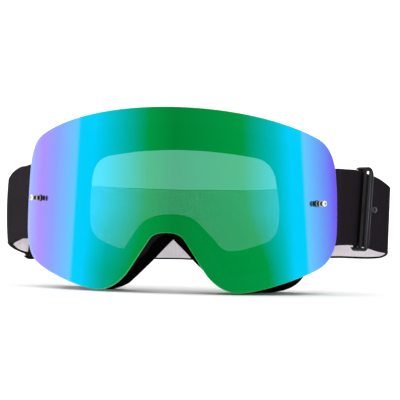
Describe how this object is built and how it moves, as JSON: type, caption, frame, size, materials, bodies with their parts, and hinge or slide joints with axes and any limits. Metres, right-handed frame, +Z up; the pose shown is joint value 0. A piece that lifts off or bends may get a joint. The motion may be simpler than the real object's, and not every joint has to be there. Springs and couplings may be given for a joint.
{
  "type": "motorcycle goggles",
  "caption": "Frameless motorcycle goggles: a mirrored wrap-round lens with tear-off posts, a foam-padded frame and an elastic head strap with sliders.",
  "frame": {"origin": "middle of the box on the ground, under the goggles", "axes": "+Z up, the lens faces -Y, +X to the right of a person looking at the lens"},
  "size_m": [0.2429, 0.1375, 0.1012],
  "materials": {
    "mirror_lens": "mirror coated, clear behind the coating",
    "frame_black": "satin",
    "gasket_foam": "matt",
    "face_foam": "open cell, matt",
    "fleece": "brushed, matt",
    "vent_foam": "open cell, matt",
    "hard_plastic": "satin",
    "post_metal": "polished",
    "webbing": "woven, pale inner face",
    "slider_grey": "satin"
  },
  "bodies": {
    "frame": {"frame_shell": "frame_black", "lens_gasket": "gasket_foam", "face_foam_base": "face_foam", "face_foam_middle": "face_foam", "face_fleece": "fleece", "vent_foam_upper_inner_left": "vent_foam", "vent_foam_upper_inner_right": "vent_foam", "vent_foam_upper_outer_left": "vent_foam", "vent_foam_upper_outer_right": "vent_foam", "vent_foam_lower_left": "vent_foam", "vent_foam_lower_right": "vent_foam", "pivot_pin_left": "hard_plastic", "pivot_pin_right": "hard_plastic"},
    "lens_unit": {"lens": "mirror_lens", "tear_off_post_left": "post_metal", "tear_off_post_right": "post_metal", "post_nut_left": "post_metal", "post_nut_right": "post_metal", "lens_peg_upper_left": "hard_plastic", "lens_peg_upper_right": "hard_plastic", "lens_peg_lower_left": "hard_plastic", "lens_peg_lower_right": "hard_plastic"},
    "strap": {"strap_band": "webbing", "strap_end_left": "webbing", "strap_end_right": "webbing", "outrigger_left": "hard_plastic", "outrigger_right": "hard_plastic"},
    "slider_right": {"slider_right": "slider_grey"},
    "slider_left": {"slider_left": "slider_grey"}
  },
  "joints": [
    {"name": "lens_release", "type": "slide", "parent": "frame", "child": "lens_unit", "axis": [0, -1, 0], "range_m": [0, 0.025]},
    {"name": "strap_swing", "type": "hinge", "parent": "frame", "child": "strap", "pos_m": [0, -0.0071, 0.0497], "axis": [1, 0, 0], "range_deg": [-10, 14]},
    {"name": "slider_right_travel", "type": "slide", "parent": "strap", "child": "slider_right", "axis": [0.5409, 0.8363, -0.0892], "range_m": [-0.01, 0.012]},
    {"name": "slider_left_travel", "type": "slide", "parent": "strap", "child": "slider_left", "axis": [1, 0, 0], "range_m": [-0.002, 0.014]}
  ]
}
